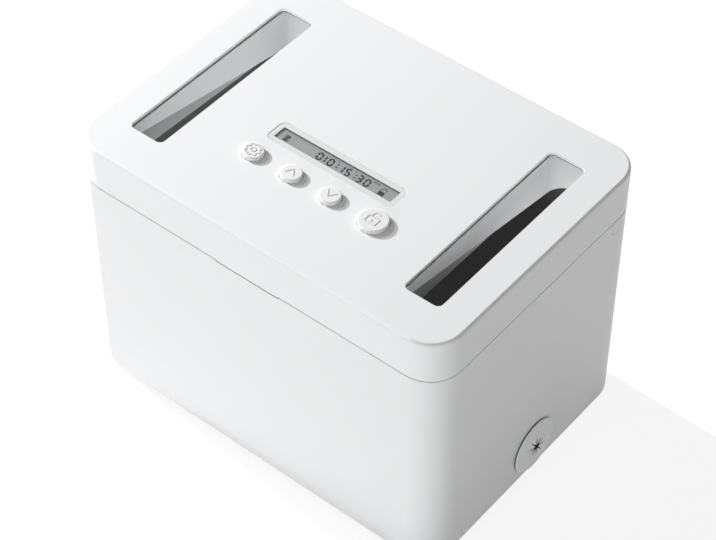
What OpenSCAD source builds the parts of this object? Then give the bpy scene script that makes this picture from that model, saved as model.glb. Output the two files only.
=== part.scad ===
// Timed lock container: a white box whose hinged lid is bolted shut until a timer runs out.
// Origin: middle of the footprint, on the surface that the feet stand on.
// +X is to the right, -Y to the front and +Z up. All sizes are in millimetres.

/* [Case] */
// Width of the case, left to right
case_w = 220; // [216:1:230]
// Depth of the case, front to back
case_d = 158; // [156:1:166]
// Height of the closed case, without its feet
case_h = 154; // [140:1:180]
// Height of the lid, from the seam to the top
lid_h = 24.5; // [24:0.5:28]
// Radius of the upright corners, seen from above
corner_r = 17.5; // [15:0.5:19]
// Thickness of the outer walls
wall = 2.5; // [2.2:0.1:2.8]
// Thickness of the lid's top
lid_top_t = 2; // [1.8:0.1:2.2]
// Rounding of the lid's upper edge
lid_round = 1.6; // [1:0.1:1.8]
// How far the rubber feet stand out under the case
foot_h = 1.5; // [1:0.1:2]

/* [Windows] */
// Width of each viewing slot
slot_w = 20.5; // [19:0.5:21]
// Length of each viewing slot
slot_l = 112; // [100:1:114]
// Distance from the middle of the lid to the middle of a slot
slot_x = 82.5; // [82:0.5:83]
// Thickness of the clear panes
pane_t = 1.2; // [1:0.1:2]

/* [Controls] */
// Width of the display's frame
bezel_w = 76; // [74:1:78]
// Depth of the display's frame
bezel_d = 14; // [13:0.5:15]
// Distance from the lid's middle forward to the display's middle
display_back = 14.2; // [14:0.1:15]
// Width of the display's window
window_w = 70; // [66:0.5:71]
// Depth of the display's window
window_d = 7.8; // [7:0.1:8]
// Diameter of the three small buttons
small_button_d = 10.9; // [10:0.1:11.5]
// Diameter of the lock button
lock_button_d = 15.1; // [14:0.1:15.5]
// Distance from the lid's middle forward to the row of buttons
button_back = 33.2; // [33:0.1:34]
// How far the buttons stand above the lid
button_h = 1.9; // [1.5:0.1:2.5]
// How far a button travels when it is pressed
button_travel = 0.8; // [0.5:0.1:0.9]

/* [Hinge] */
// Radius of the hinge barrel
barrel_r = 4; // [3.8:0.1:4.2]
// Length of the hinge barrel
barrel_l = 170; // [160:1:171]
// Diameter of the hinge pins
pin_d = 3; // [2.5:0.5:3]

/* [Latch] */
// How far the bolt runs out when it locks
bolt_travel = 4; // [3:0.5:4]
// Width of the bolt
bolt_w = 9; // [8:0.5:9]
// Thickness of the bolt
bolt_t = 5; // [4.5:0.5:5]
// Size of the rack and pinion teeth, as their module
tooth_m = 0.7; // [0.6:0.1:0.8]
// Number of teeth on the pinion
pinion_teeth = 12; // [11:1:13]

/* [Cable port] */
// Diameter of the cable port's outer flange
port_d = 30.8; // [28:0.1:32]
// Height of the port's middle above the case's bottom
port_up = 17.5; // [17:0.5:20]
// How far the port's middle lies behind the case's middle
port_y = 2.5; // [0:0.5:4]
// Number of slits in the port
port_slits = 10; // [6:1:12]

/* [Hidden] */
$fn = 64;

// A sliver added to cutting shapes, so that they pass through the faces they cut
cut = 1;
// Gap between pieces that move past each other
gap = 0.3;

// Fasteners: radius of the shank and of the head, and height of the head
screw_r = 1.2;
head_r = 2.4;
head_h = 1.6;
small_screw_r = 1;
small_head_r = 2;
head_play = 0.3;
shank_play = 0.3;
fit_play = 0.1;
// Cross recess in the heads: length, width and depth
cross = [2.6, 0.6, 0.8];

// Levels, from the surface under the feet upwards
case_z = foot_h;
floor_top = case_z + wall;
top_z = case_z + case_h;
seam_z = top_z - lid_h;
seam_gap = 0.5;
rim_z = seam_z - seam_gap/2;
lid_z = seam_z + seam_gap/2;
roof_z = top_z - lid_top_t;
edge_break = 0.4;
bottom_round = 1;
inner_round = 1.5;
roof_round = 0.8;

// Inside faces of the outer walls
inner_x = case_w/2 - wall;
inner_y = case_d/2 - wall;

// Hinge: the barrel lies flush with the back, just under the seam
hinge_y = case_d/2 - barrel_r;
hinge_z = seam_z - barrel_r;
barrel_gap = 0.4;
barrel_end = barrel_l/2;
ledge_top = hinge_z - barrel_r - barrel_gap;
ledge_t = 3;
ledge_side = 6.6;
ledge_inner_y = case_d/2 - 10.5;
channel_end = 1;
lip_top = hinge_z - 0.5;
web_rise = 2;
pin_r = pin_d/2;
pin_in_barrel = 8.7;
pin_in_cap = 9.4;
pin_play = 0.06;

// Corner caps that carry the hinge pins
cap_front = case_d/2 - 23.5;
cap_side_t = 5;
cap_inner_y = case_d/2 - 8.25;
cap_inner_r = 14;
cap_end_gap = 0.6;
cap_line = 0.25;
cap_round = 2.2;
cap_screw = [case_w/2 - 7.4, case_d/2 - 8.9];
cap_boss_r = 3.2;
cap_boss_l = 12;
cap_boss_rise = 1;
cap_boss_play = 0.4;
cap_bore_floor = 2;
cap_head_z = rim_z - 2.4;
cap_screw_l = 15.4;

// Dark tub that lines the base
tub_x = inner_x - 4.5;
tub_front = -inner_y + 4.5;
tub_back = ledge_inner_y - 0.5;
tub_wall = 2;
tub_r = 14;
tub_floor_z = 9;
tub_floor_r = 3;
flange_top = seam_z - 4.3;
flange_t = 2;
flange_gap = 0.3;
flange_x = inner_x - flange_gap;
tub_boss_r = 4;
tub_boss_low = tub_floor_z - 2.5;
tub_boss_high = tub_floor_z + 1;
tub_post_r = 5;
tub_screw = [70, 45];
tub_screw_deep = case_z + 2.7;
tub_cap_gap = 0.4;
cable_hole_r = 7;
cable_hole_up = 1.5;
cable_hole_l = 20;
striker_notch = [0.8, 0.2];

// Upright ribs in the base that the tub's flange rests on
rib_t = 1.6;
rib_depth = 4.2;
rib_y = [-50, -24, 42];
rib_x = [30, 66];

port_z = case_z + port_up;

// Feet
foot_at = [92, 61];
foot_r = 7.3;
foot_sink = 1;
foot_play = 0.3;
foot_round = 0.5;
foot_hollow = [2.5, 0.6];

// Striker that the bolt runs into
strike_t = 2;
strike_w = 18;
strike_y = -inner_y + 1.4;
strike_low = seam_z - 23;
strike_high = seam_z + 11.5;
strike_hole_z = [seam_z - 19, seam_z - 11];
strike_window_play = 0.6;
strike_corner = 2;
strike_sink = 1.4;
strike_screw_l = 5;
strike_bore = 3.2;
pad_top = seam_z - 7;

// Finger lip at the middle of the seam
lip_w = 37;
lip_drop = 0.8;
lip_play = 0.4;
lip_set_back = 0.2;
lip_root = 1;

// Cable port: flange that stands out, membrane with its star of slits, and plug in the wall
port_out = 1.4;
port_dome = 0.9;
port_edge = 0.9;
port_foot = 0.45;
port_foot_in = 0.6;
port_dome_in = 1.2;
dome_sides = 128;
port_bore_in = 2.5;
port_hollow_in = 3;
port_hollow_top = 1;
port_bead = [1.6, 1.5, 0.6];
port_play = 0.05;
port_hole_r = 1.3;
slit_r = 6.4;
slit_w = 0.45;

// Bolt, rack and pinion
bolt_z = seam_z + 3.5;
bolt_tip = strike_y + strike_t + 1.5;
bolt_l = 21.6;
bolt_room = 1;
pitch_r = tooth_m*pinion_teeth/2;
rack_pitch = PI*tooth_m;
tooth_add = 0.6;
tooth_ded = 0.9;
pressure_angle = 20;
tooth_root = 0.25;
tooth_sink = 0.3;
pinion_y = bolt_tip + 13.6;
pitch_z = bolt_z + bolt_t - tooth_add;
pinion_z = pitch_z + pitch_r;
pinion_w = 6.8;
rack_gaps = [-1 : ceil(bolt_travel/rack_pitch) + 1];
rack_play = 0.05;
pinion_play = 0.12;
bolt_edge = 1;

// Gear motor that turns the pinion
motor_x = 9;
gearbox_l = 9;
can_l = 15;
motor_h = 12;
motor_w = 10;
shaft_r = 1.5;
shaft_x = -6.6;
shaft_in_motor = 2.2;
bearing_depth = 2.4;
rear_bush = [2.5, 1];
strap_y = 9.8;
strap_t = 0.8;
strap_in = 1.8;
strap_foot = 2;
strap_x = [motor_x + 2.5, motor_x + 7.5];
strap_screw_r = 0.8;
strap_head = [1.6, 1];
strap_bore = 0.4;
strap_screw_at = [for (s = [-1, 1]) [(strap_x[0] + strap_x[1])/2, pinion_y + s*strap_y]];

// Housing of the latch: floor, cheeks beside the bolt, bearing, cradle and screw posts
housing_t = 1.8;
housing_x = [-17, 43];
housing_screw = [[-12.5, 6], [-12.5, 21], [38, 6], [38, 21]];
housing_screw_at = [for (at = housing_screw) [at[0], bolt_tip + at[1]]];
housing_post = [3, 8];
housing_bore = 7;
housing_screw_l = 6.5;
cheek_t = 2;
cheek_play = 0.2;
bed_play = 0.1;
bolt_front = 0.4;
bolt_back = 4;
roof_l = 5;
roof_t = 1.6;
bearing_r = 3.5;
cradle_t = 1.8;
cradle_play = 0.2;
cradle_x = [motor_x + 2, motor_x + 22];
cradle_rib = [1.5, 6.5];

// Liner that closes the lid's underside
liner_z = seam_z - 3.5;
liner_t = 2.2;
liner_top = liner_z + liner_t;
liner_back = ledge_inner_y - 1;
liner_gap = 0.5;
liner_cap_gap = 1.6;
pad_h = 0.8;
liner_boss = [[101, -56], [101, 48], [50, 60]];
liner_boss_r = 3.4;
liner_boss_bore = 12;
liner_screw_l = 11;
liner_notch = [1.4, 0.7];
liner_pad_r = 3.7;

// White sleeves around the wells under the slots, and the liner's wells around them
slot_r = 3;
pane_w = 23;
pane_l = 135;
pane_r = 3;
pane_z = roof_z - pane_t;
pane_play = 0.1;
rail_l = 120;
sleeve_wall = 1.8;
sleeve_l = 130;
sleeve_r = 8.5;
frame_w = 29;
frame_l = 148;
frame_t = 1.5;
frame_corner = 4;
frame_top = pane_z;
frame_boss_r = 2.6;
sleeve_slope = 0.165;
sleeve_front_depth = 10;
sleeve_front_y = -49;
frame_screw = [10, 71];
frame_screw_at = [for (sx = [-1, 1], sy = [-1, 1]) [slot_x + sx*frame_screw[0], sy*frame_screw[1]]];
frame_screw_tip = roof_z + 0.8;
well_wall = 1.5;
well_out = 12.35;
well_in = 14.75;
well_l = 134.2;
well_r = 9;
well_top = frame_top - frame_t - 0.9;
// Gap under the outer wall of a well: its ends, its height there, and its reach at them
gap_y = [-44, 58];
gap_top = [seam_z + 1.1, seam_z - 2.8];
gap_x = [3.5, 1.5];

// Circuit board and what it carries
board_top = roof_z - 7.4;
board_t = 1.6;
board_x = 57;
board_y = [-43, 1];
board_screw_at = [[53, -38], [53, -4]];
board_boss_r = 3;
board_screw_short = 2;
buzzer_at = [46, -14];
buzzer_size = [4.5, 5];
buzzer_hole = [1, 2];
switch_w = 6;
switch_h = 3.5;
plunger_r = 1.7;
plunger_proud = 1;
plunger_floor = 0.2;
plunger_l = switch_h + plunger_proud - plunger_floor - button_travel - fit_play;
stem_r = 2;
collar_gap = 0.1;
button_x = [-34.5, -11.2, 12.1, 37.5];
button_y = -button_back;
collar_t = 1.1;
collar_extra = 1.1;
button_round = 0.7;

// Display stack
display_y = -display_back;
bezel_r = 3.5;
bezel_sink = 0.15;
bezel_edge = 0.3;
bezel_lip = 2;
bezel_lip_t = 1;
bezel_play = 0.05;
window_r = 0.8;
cell = [72.6, 10.6, 1.9];
cell_top = top_z - 1.4;
cell_play = 0.1;
lens_z = cell_top + cell_play;
lens_t = 1;
holder_wall = 1.4;
holder_top = roof_z - bezel_lip_t - cell_play;
holder_rib = 3.3;
backlight_size = [69, 7.4, 2.6];
backlight_z = cell_top - cell[2] - backlight_size[2];
strip = [64, 1.4];

// Batteries, in a bay of the liner that a door closes from below
cell_d = 10.5;
cell_l = 44.5;
cell_pitch = 12;
cell_nub = 0.8;
bay_y = 44;
bay = [50, 37];
bay_wall = 2;
bay_step = 1;
bay_top = liner_top + 13;
bay_axis_z = liner_top + 6.4;
door_play = 0.3;
door_sink = 0.2;
door_r = 1;
thumb = [18, 0.9, 0.4];
thumb_pitch = 1.8;
thumb_in = 7;
cell_shift = 0.6;
cell_cap_r = 1.9;
contact_t = 0.4;
contact_w = 9;
contact_nub_r = 1.8;
spring_r = 3.6;

// ---------------------------------------------------------------- shared shapes

// Rectangle with round corners
module rounded_rect(w, d, r) {
    square([w - 2*r, d], center = true);
    square([w, d - 2*r], center = true);
    for (sx = [-1, 1], sy = [-1, 1])
        translate([sx*(w/2 - r), sy*(d/2 - r)])
            circle(r);
}

// Quarter of a disc, for rounded edges
module quarter(r) {
    intersection() {
        circle(r);
        square(r);
    }
}

// Layer whose outer edge curves inwards by f as it rises by f
module round_layer(w, d, r, f) {
    linear_extrude(f)
        rounded_rect(w - 2*f, d - 2*f, r - f);
    for (s = [0, 1]) {
        mirror([0, s, 0])
            translate([0, d/2 - f, 0])
                rotate([90, 0, 90])
                    linear_extrude(w - 2*r, center = true)
                        quarter(f);
        mirror([s, 0, 0])
            translate([w/2 - f, 0, 0])
                rotate([90, 0, 0])
                    linear_extrude(d - 2*r, center = true)
                        quarter(f);
    }
    for (turn = [0 : 90 : 270])
        translate([sign(cos(turn + 45))*(w/2 - r), sign(sin(turn + 45))*(d/2 - r), 0])
            rotate([0, 0, turn])
                rotate_extrude(angle = 90)
                    translate([r - f, 0])
                        quarter(f);
}

// Round-cornered block from z0 to z1, with rounded edges at its top and bottom
module slab(w, d, z0, z1, r, top = 0, bottom = 0) {
    translate([0, 0, z0 + bottom])
        linear_extrude(z1 - z0 - top - bottom)
            rounded_rect(w, d, r);
    if (top > 0)
        translate([0, 0, z1 - top])
            round_layer(w, d, r, top);
    if (bottom > 0)
        translate([0, 0, z0 + bottom])
            mirror([0, 0, 1])
                round_layer(w, d, r, bottom);
}

// Block between two corners
module block(a, b) {
    translate(a)
        cube(b - a);
}

// Upright cylinder at a point of the plan, from z0 to z1
module post(at, z0, z1, r) {
    translate([at[0], at[1], z0])
        cylinder(h = z1 - z0, r = r);
}

// Screw that points up: its head starts at z0 and its tip is at z1
module screw_up(at, z0, z1) {
    color("silver") {
        difference() {
            post(at, z0, z0 + head_h, head_r);
            for (turn = [0, 90])
                translate([at[0], at[1], z0])
                    rotate([0, 0, turn])
                        cube([cross[0], cross[1], 2*cross[2]], center = true);
        }
        post(at, z0 + head_h, z1, screw_r);
    }
}

// Extrusion along X of an outline drawn as (y, z)
module along_x(x0, x1) {
    translate([x0, 0, 0])
        rotate([90, 0, 90])
            linear_extrude(x1 - x0)
                children();
}

// Cylinder along X at (y, z), from x0 to x1
module rod(x0, x1, at, r) {
    translate([x0, at[0], at[1]])
        rotate([0, 90, 0])
            cylinder(h = x1 - x0, r = r);
}

// The same thing on both sides
module both_sides() {
    children();
    mirror([1, 0, 0])
        children();
}

// The same thing in all four quarters of the plan
module four_ways() {
    for (sx = [0, 1], sy = [0, 1])
        mirror([sx, 0, 0])
            mirror([0, sy, 0])
                children();
}

// ---------------------------------------------------------------- base

// Plan of the band inside the rear corners, between the case's outline and an inner one
module rear_band(outline_in, side_t, inner_edge, front) {
    intersection() {
        difference() {
            rounded_rect(case_w - 2*outline_in, case_d - 2*outline_in, corner_r - outline_in);
            translate([0, (inner_edge - case_d)/2])
                rounded_rect(case_w - 2*side_t, inner_edge + case_d, cap_inner_r);
        }
        translate([-case_w/2, front])
            square([case_w, case_d]);
    }
}

// Plan that stays clear of the hinge caps and ends at a given distance behind the middle
module clear_of_caps(back, side) {
    translate([-case_w/2, -case_d/2])
        square([case_w, case_d/2 + cap_front - side]);
    intersection() {
        translate([0, (cap_inner_y - side - case_d)/2])
            rounded_rect(case_w - 2*(cap_side_t + side), cap_inner_y - side + case_d, cap_inner_r - side);
        translate([-case_w/2, -case_d/2])
            square([case_w, case_d/2 + back]);
    }
}

// Side outline of a hinge cap, as (y, z): flat in front, round like the barrel behind
module cap_outline(line) {
    front = cap_front - line + cap_line;
    low = ledge_top + cap_line - line;
    round_at = cap_round + line;
    translate([hinge_y, hinge_z])
        circle(barrel_r);
    translate([front + round_at, low])
        square([hinge_y - front - round_at, rim_z + cut - low]);
    translate([front, low + round_at])
        square([round_at, rim_z + cut - low - round_at]);
    translate([front + round_at, low + round_at])
        circle(round_at);
}

// Room for the barrel and for the back of the opening lid, as (y, z)
module hinge_room() {
    translate([hinge_y, hinge_z])
        circle(barrel_r + barrel_gap);
    translate([hinge_y, ledge_top - barrel_gap])
        square([barrel_r + cut, rim_z - ledge_top + barrel_gap + cut]);
    translate([hinge_y - barrel_r - barrel_gap, hinge_z])
        square([barrel_r + barrel_gap, rim_z - hinge_z + cut]);
}

module base_walls() {
    difference() {
        slab(case_w, case_d, case_z, rim_z, corner_r, top = edge_break, bottom = bottom_round);
        slab(2*inner_x, 2*inner_y, floor_top, rim_z + cut, corner_r - wall, bottom = inner_round);
    }
}

module base_ribs() {
    rib_top = flange_top - flange_t;
    both_sides()
        for (y = rib_y)
            block([inner_x - rib_depth, y - rib_t/2, floor_top - cut],
                   [inner_x + cut, y + rib_t/2, rib_top]);
    both_sides()
        for (x = rib_x)
            block([x - rib_t/2, -inner_y - cut, floor_top - cut],
                   [x + rib_t/2, -inner_y + rib_depth, rib_top]);
}

module base_shell() {
    color("white")
        difference() {
            union() {
                base_walls();
                base_ribs();
                // ledge under the hinge, and the lip in front of the barrel
                translate([0, 0, ledge_top - ledge_t])
                    linear_extrude(ledge_t)
                        rear_band(wall/2, ledge_side, ledge_inner_y, cap_front - channel_end);
                block([-barrel_end - channel_end, ledge_inner_y, ledge_top - ledge_t],
                      [barrel_end + channel_end, case_d/2 - wall/2, lip_top]);
                both_sides()
                    post(cap_screw, ledge_top - cap_boss_l, ledge_top, cap_boss_r);
                // bosses under the tub
                four_ways()
                    post(tub_screw, floor_top - cut, tub_boss_low, tub_post_r);
                // pad behind the striker
                block([-strike_w/2, -inner_y - cut, strike_low], [strike_w/2, strike_y, pad_top]);
            }
            along_x(-barrel_end - gap, barrel_end + gap)
                hinge_room();
            both_sides() {
                cap_recess();
                block([barrel_end, hinge_y, ledge_top - barrel_gap],
                      [case_w/2 + cut, case_d/2 + cut, rim_z + cut]);
                post(cap_screw, ledge_top - cap_boss_l + cap_bore_floor, ledge_top + cut, screw_r);
            }
            four_ways() {
                post(foot_at, case_z - cut, case_z + foot_sink, foot_r + foot_play);
                post(tub_screw, case_z - cut, tub_screw_deep, head_r + head_play);
                post(tub_screw, case_z - cut, tub_floor_z, screw_r + shank_play);
            }
            rod(inner_x - rib_depth - cut, case_w/2 + cut, [port_y, port_z], port_d/2 - port_bore_in);
            block([-lip_w/2 - lip_play, -case_d/2 - cut, rim_z - lip_drop],
                  [lip_w/2 + lip_play, -inner_y + cut, rim_z + cut]);
            for (z = strike_hole_z)
                translate([0, strike_y + cut, z])
                    rotate([90, 0, 0])
                        cylinder(h = strike_bore + cut, r = screw_r);
        }
}

// Room in the base's rear corner for a hinge cap
module cap_recess() {
    intersection() {
        along_x(barrel_end, case_w/2 + cut)
            cap_outline(cap_line);
        translate([0, 0, ledge_top - cut])
            linear_extrude(rim_z)
                rear_band(-cut, ledge_side, ledge_inner_y, cap_front - cap_line);
    }
}

module tub_block(inset, z0, z1, bottom) {
    translate([0, (tub_front + tub_back)/2, 0])
        slab(2*(tub_x - inset), tub_back - tub_front - 2*inset, z0, z1, tub_r - inset, bottom = bottom);
}

module inner_tub() {
    color("#1b1c1e")
        difference() {
            union() {
                tub_block(0, tub_floor_z, flange_top, tub_floor_r + tub_wall);
                // flange that lies on the base's ribs
                intersection() {
                    slab(2*flange_x, 2*(inner_y - flange_gap), flange_top - flange_t, flange_top,
                         corner_r - wall - flange_gap);
                    linear_extrude(case_h)
                        clear_of_caps(tub_back, tub_cap_gap);
                }
                four_ways()
                    post(tub_screw, tub_boss_low, tub_boss_high, tub_boss_r);
            }
            tub_block(tub_wall, tub_floor_z + tub_wall, flange_top + cut, tub_floor_r);
            four_ways()
                post(tub_screw, tub_boss_low - cut, tub_boss_high + fit_play, screw_r);
            rod(tub_x - cable_hole_l/2, tub_x + cable_hole_l/2, [port_y, port_z + cable_hole_up],
                cable_hole_r);
            // clear of the striker
            block([-strike_w/2 - striker_notch[0], -case_d, flange_top - flange_t - cut],
                  [strike_w/2 + striker_notch[0], tub_front - striker_notch[1], flange_top + cut]);
        }
}

module hinge_cap() {
    color("white")
        difference() {
            union() {
                intersection() {
                    along_x(barrel_end + cap_end_gap, case_w/2)
                        cap_outline(0);
                    translate([0, 0, ledge_top])
                        linear_extrude(rim_z - ledge_top)
                            rear_band(0, cap_side_t, cap_inner_y, cap_front);
                }
                post(cap_screw, ledge_top, ledge_top + cap_boss_rise, cap_boss_r - cap_boss_play);
            }
            rod(barrel_end - cut, barrel_end + cap_end_gap + pin_in_cap, [hinge_y, hinge_z], pin_r);
            post(cap_screw, ledge_top - cut, rim_z + cut, screw_r + fit_play);
            post(cap_screw, cap_head_z, rim_z + cut, head_r + fit_play);
        }
}

module hinge_pin() {
    color("silver")
        rod(barrel_end - pin_in_barrel, barrel_end + cap_end_gap + pin_in_cap, [hinge_y, hinge_z], pin_r);
}

module hinge_cap_screws() {
    both_sides()
        translate([0, 0, cap_head_z + head_h])
            mirror([0, 0, 1])
                screw_up(cap_screw, 0, cap_screw_l);
}

module strike_plate() {
    window_x = bolt_w/2 + strike_window_play;
    color("silver")
        difference() {
            translate([0, strike_y + strike_t, 0])
                rotate([90, 0, 0])
                    linear_extrude(strike_t)
                        translate([0, (strike_low + strike_high)/2])
                            rounded_rect(strike_w, strike_high - strike_low, strike_corner);
            block([-window_x, strike_y - cut, bolt_z - strike_window_play],
                  [window_x, strike_y + strike_t + cut, bolt_z + bolt_t + strike_window_play]);
            for (z = strike_hole_z)
                translate([0, strike_y + strike_t, z])
                    rotate([90, 0, 0])
                        strike_screw_shape(fit_play);
        }
}

// Countersunk screw along Z, with its head's face at zero; play is added all round
module strike_screw_shape(play) {
    cylinder(h = strike_sink, r1 = head_r + play, r2 = screw_r + play);
    cylinder(h = strike_screw_l, r = screw_r + play);
}

module strike_screws() {
    color("silver")
        for (z = strike_hole_z)
            translate([0, strike_y + strike_t, z])
                rotate([90, 0, 0])
                    strike_screw_shape(0);
}

// Rubber port: domed flange outside, groove that grips the wall, slit membrane
module cable_grommet() {
    color("#dcdfe2")
        translate([case_w/2, port_y, port_z])
            rotate([0, 90, 0])
                difference() {
                    union() {
                        port_flange();
                        port_membrane_dome();
                        port_plug();
                    }
                    translate([0, 0, -wall - port_bead[0] - cut])
                        cylinder(h = wall + port_bead[0] + port_hollow_top + cut,
                                 r = port_d/2 - port_bore_in - port_hollow_in);
                    cylinder(h = 2*(port_out + port_dome + cut), r = port_hole_r, center = true);
                    for (i = [0 : port_slits - 1])
                        rotate([0, 0, i*360/port_slits])
                            block([0, -slit_w/2, 0], [slit_r, slit_w/2, port_out + port_dome + cut]);
                }
}

// Flange with a soft edge, over a narrower foot that leaves a fine line round it
module port_flange() {
    r = port_d/2;
    rotate_extrude() {
        square([r - port_foot_in, port_out]);
        square([r - port_edge, port_out]);
        translate([0, port_foot])
            square([r, port_out - port_edge - port_foot]);
        translate([r - port_edge, port_out - port_edge])
            quarter(port_edge);
    }
}

// Shallow dome over the flange
module port_membrane_dome() {
    r = port_d/2 - port_dome_in;
    ball_r = (r*r + port_dome*port_dome)/(2*port_dome);
    intersection() {
        translate([0, 0, port_out + port_dome - ball_r])
            sphere(ball_r, $fn = dome_sides);
        cylinder(h = port_out + port_dome, r = r);
    }
}

// Plug that fills the hole in the wall, with a bead behind it
module port_plug() {
    r = port_d/2 - port_bore_in;
    translate([0, 0, -wall - port_bead[0]])
        cylinder(h = wall + port_bead[0] + port_foot, r = r - port_play);
    translate([0, 0, -wall - port_bead[0]])
        cylinder(h = port_bead[1], r = r + port_bead[2]);
}

module foot() {
    color("#2a2b2d")
        difference() {
            translate([foot_at[0], foot_at[1], 0])
                rotate_extrude() {
                    square([foot_r - foot_round, foot_h + foot_sink]);
                    translate([0, foot_round])
                        square([foot_r, foot_h + foot_sink - foot_round]);
                    translate([foot_r - foot_round, foot_round])
                        circle(foot_round);
                }
            post(foot_at, -cut, foot_hollow[1], foot_hollow[0]);
        }
}

module tub_screws() {
    four_ways()
        screw_up(tub_screw, tub_screw_deep - head_h, tub_boss_high);
}

// ---------------------------------------------------------------- lid

module lid_walls() {
    difference() {
        slab(case_w, case_d, lid_z, top_z, corner_r, top = lid_round, bottom = edge_break);
        slab(2*inner_x, 2*inner_y, lid_z - cut, roof_z, corner_r - wall, top = roof_round);
    }
}

module lid_bosses() {
    both_sides() {
        for (at = liner_boss)
            post(at, liner_top + pad_h, roof_z + cut/2, liner_boss_r);
        for (at = frame_screw_at)
            post(at, frame_top, roof_z + cut/2, frame_boss_r);
        for (at = board_screw_at)
            post(at, board_top, roof_z + cut/2, board_boss_r);
    }
}

module lid_shell() {
    color("white")
        difference() {
            union() {
                lid_walls();
                lid_bosses();
                // hinge barrel, and the web that joins it to the rear wall
                along_x(-barrel_end, barrel_end) {
                    translate([hinge_y, hinge_z])
                        circle(barrel_r);
                    translate([hinge_y - barrel_r/2, hinge_z])
                        square([barrel_r*3/2, lid_z - hinge_z + web_rise]);
                }
                // finger lip
                block([-lip_w/2, -case_d/2 + lip_set_back, lid_z - lip_drop],
                      [lip_w/2, -inner_y, lid_z + lip_root]);
            }
            both_sides() {
                translate([slot_x, 0, roof_z - cut])
                    linear_extrude(lid_top_t + 2*cut)
                        rounded_rect(slot_w, slot_l, slot_r);
                rod(barrel_end - pin_in_barrel - barrel_gap, barrel_end + cut, [hinge_y, hinge_z],
                    pin_r + pin_play);
                for (at = liner_boss)
                    post(at, liner_top, liner_top + liner_boss_bore, screw_r);
                for (at = frame_screw_at)
                    post(at, frame_top - cut, frame_screw_tip, small_screw_r);
                for (at = board_screw_at)
                    post(at, board_top - cut, roof_z, small_screw_r);
            }
            translate([0, display_y, roof_z - cut])
                linear_extrude(lid_top_t + 2*cut)
                    rounded_rect(bezel_w + 2*bezel_play, bezel_d + 2*bezel_play, bezel_r + bezel_play);
            for (i = [0 : 3])
                post([button_x[i], button_y], roof_z - cut, top_z + cut, button_r(i) + gap);
        }
}

function button_r(i) = (i == 3 ? lock_button_d : small_button_d)/2;

module window_pane() {
    color([0.85, 0.9, 0.92, 0.35])
        translate([slot_x, 0, pane_z])
            linear_extrude(pane_t)
                rounded_rect(pane_w, pane_l, pane_r);
}

// Sleeve round the well, cut off at a slope, under a flange that holds the pane up
module window_frame() {
    flange_z = frame_top - frame_t;
    low_front = top_z - sleeve_front_depth + sleeve_slope*(case_d + sleeve_front_y);
    low_back = top_z - sleeve_front_depth - sleeve_slope*(case_d - sleeve_front_y);
    color("white")
        difference() {
            union() {
                translate([slot_x, 0, flange_z])
                    linear_extrude(frame_t)
                        rounded_rect(frame_w, frame_l, frame_corner);
                translate([slot_x, 0, liner_z])
                    linear_extrude(flange_z - liner_z + frame_t/2)
                        rounded_rect(slot_w + 2*sleeve_wall, sleeve_l + 2*sleeve_wall,
                                     sleeve_r + sleeve_wall);
                // rails that keep the pane from sliding sideways
                for (sx = [-1, 1])
                    block([slot_x + min(sx*frame_w, sx*(pane_w + 2*pane_play))/2, -rail_l/2, flange_z],
                          [slot_x + max(sx*frame_w, sx*(pane_w + 2*pane_play))/2, rail_l/2,
                           roof_z - pane_play]);
            }
            translate([slot_x, 0, liner_z - cut])
                linear_extrude(frame_top - liner_z + 2*cut)
                    rounded_rect(slot_w, sleeve_l, sleeve_r);
            along_x(0, case_w)
                polygon([[-case_d, low_front], [case_d, low_back], [case_d, 0], [-case_d, 0]]);
            for (at = frame_screw_at)
                post(at, flange_z - cut, frame_top + cut, screw_r);
        }
}

module frame_screws() {
    color("silver")
        both_sides()
            for (at = frame_screw_at) {
                post(at, frame_top - frame_t - head_h, frame_top - frame_t, small_head_r);
                post(at, frame_top - frame_t, frame_screw_tip, small_screw_r);
            }
}

// Plan of the liner, clear of the case's rim, the hinge caps and the striker
module liner_plan() {
    difference() {
        intersection() {
            rounded_rect(2*(inner_x - liner_gap), 2*(inner_y - liner_gap), corner_r - wall - liner_gap);
            clear_of_caps(liner_back, liner_cap_gap);
        }
        translate([-strike_w/2 - liner_notch[0], -case_d/2])
            square([strike_w + 2*liner_notch[0], case_d/2 + strike_y + strike_t + liner_notch[1]]);
    }
}

module well_plan(extra) {
    translate([slot_x + (well_out - well_in)/2, 0])
        rounded_rect(well_out + well_in + 2*extra, well_l + 2*extra, well_r + extra);
}

// Gap under the outer wall of a well, where the dark tub shows through the window
module well_gap() {
    edge = slot_x + well_out;
    intersection() {
        translate([0, 0, liner_z - cut])
            linear_extrude(lid_h)
                polygon([[edge - cut, gap_y[0]], [edge + gap_x[0], gap_y[0]],
                         [edge + gap_x[1], gap_y[1]], [edge - cut, gap_y[1]]]);
        along_x(slot_x, case_w/2)
            polygon([[gap_y[0], liner_z - cut], [gap_y[1], liner_z - cut],
                     [gap_y[1], gap_top[1]], [gap_y[0], gap_top[0]]]);
    }
}

module lid_liner() {
    color("#8b8f92")
        difference() {
            union() {
                translate([0, 0, liner_z])
                    linear_extrude(liner_t)
                        liner_plan();
                both_sides() {
                    translate([0, 0, liner_z])
                        linear_extrude(well_top - liner_z)
                            well_plan(well_wall);
                    for (at = liner_boss)
                        post(at, liner_top - cut, liner_top + pad_h, liner_pad_r);
                }
                bay_block(bay_wall, liner_z, bay_top + bay_wall);
            }
            both_sides() {
                translate([0, 0, liner_z - cut])
                    linear_extrude(lid_h)
                        well_plan(0);
                well_gap();
                for (at = liner_boss)
                    screw_hole(at, liner_top + pad_h + cut);
            }
            for (at = housing_screw_at)
                screw_hole(at, liner_top + cut);
            bay_block(0, liner_top - cut, bay_top);
            bay_block(bay_step, liner_z - cut, liner_top);
        }
}

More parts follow.
